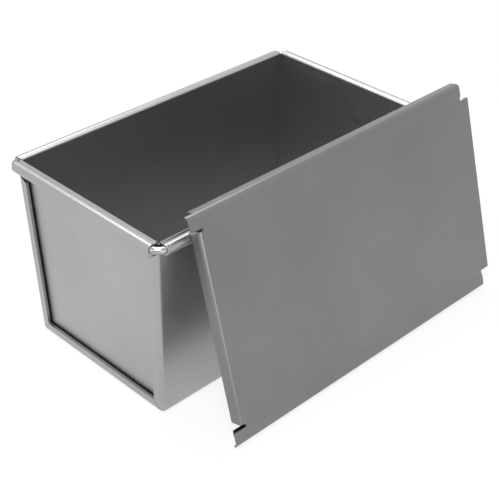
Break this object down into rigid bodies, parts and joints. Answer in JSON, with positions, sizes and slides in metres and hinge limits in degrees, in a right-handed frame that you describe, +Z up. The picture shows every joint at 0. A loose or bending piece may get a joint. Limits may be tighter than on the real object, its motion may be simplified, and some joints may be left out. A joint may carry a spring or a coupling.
{
  "type": "pullman loaf pan",
  "caption": "Straight-sided covered loaf pan of folded sheet metal with a wired rim, seamed ends and a sliding lid that leans against it.",
  "frame": {"origin": "centre of the pan's underside, on the table", "axes": "+X along the pan towards the lid's tab end, +Y away from the leaning lid, +Z up"},
  "size_m": [0.2289, 0.1611, 0.1233],
  "materials": {
    "pan_sheet": "satin coated sheet",
    "lid_sheet": "satin coated sheet",
    "wire": "bright drawn wire"
  },
  "bodies": {
    "pan": {"body_wrap": "pan_sheet", "front_end_panel": "pan_sheet", "rear_end_panel": "pan_sheet", "rim_wire": "wire"},
    "lid": {"sliding_lid": "lid_sheet"}
  },
  "joints": [
    {"name": "lid_slide", "type": "slide", "parent": "pan", "child": "lid", "axis": [1, 0, 0], "range_m": [0, 0.215]}
  ]
}
